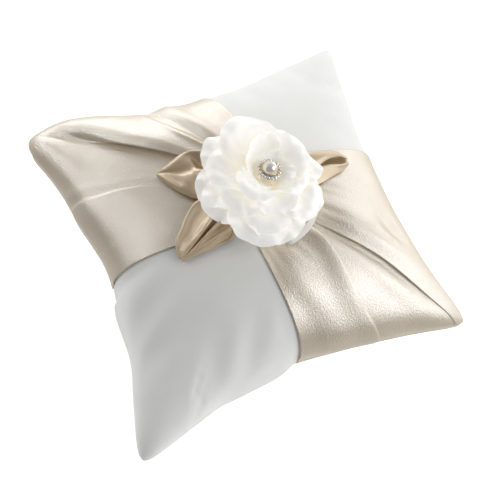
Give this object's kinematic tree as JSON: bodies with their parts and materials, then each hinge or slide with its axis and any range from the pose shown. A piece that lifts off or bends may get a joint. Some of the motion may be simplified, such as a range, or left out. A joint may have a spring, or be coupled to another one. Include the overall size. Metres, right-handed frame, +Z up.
{
  "type": "ring bearer pillow",
  "caption": "Square stuffed satin ring pillow with a gathered diagonal sash, folded leaves and a layered fabric rose with a pearl brooch.",
  "frame": {"origin": "centre of the flat underside on which the pillow rests", "axes": "+Z up through the flower's brooch; X and Y along the pillow's sides; the sash runs between the corners (-X, +Y) and (+X, -Y)"},
  "size_m": [0.21, 0.21, 0.1118],
  "materials": {
    "ivory_satin": "satin",
    "fill": "matte",
    "champagne_satin": "satin",
    "leaf_satin": "satin",
    "felt": "matte",
    "petal_chiffon": "satin",
    "ribbon_satin": "satin",
    "gold": "polished",
    "silver": "polished",
    "crystal": "gloss",
    "pearl": "gloss"
  },
  "bodies": {
    "root": {"bottom_panel": "ivory_satin", "fibre_fill": "fill", "top_panel": "ivory_satin", "sash_left": "champagne_satin", "sash_right": "champagne_satin", "gather_binding": "champagne_satin", "leaf_left": "leaf_satin", "leaf_lower": "leaf_satin", "leaf_right": "leaf_satin", "flower_backing": "felt", "flower_core": "petal_chiffon", "button_shank": "gold", "petal_outer_1": "petal_chiffon", "petal_outer_2": "petal_chiffon", "petal_outer_3": "petal_chiffon", "petal_outer_4": "petal_chiffon", "petal_outer_5": "petal_chiffon", "petal_outer_6": "petal_chiffon", "petal_outer_7": "petal_chiffon", "petal_middle_1": "petal_chiffon", "petal_middle_2": "petal_chiffon", "petal_middle_3": "petal_chiffon", "petal_middle_4": "petal_chiffon", "petal_middle_5": "petal_chiffon", "petal_middle_6": "petal_chiffon", "petal_inner_1": "petal_chiffon", "petal_inner_2": "petal_chiffon", "petal_inner_3": "petal_chiffon", "petal_inner_4": "petal_chiffon", "petal_inner_5": "petal_chiffon", "petal_centre_1": "petal_chiffon", "petal_centre_2": "petal_chiffon", "petal_centre_3": "petal_chiffon", "setting_ring": "silver", "pearl_cup": "gold", "stones": "crystal", "pearl": "pearl", "ring_ribbon_a": "ribbon_satin", "ring_ribbon_b": "ribbon_satin"}
  },
  "joints": []
}
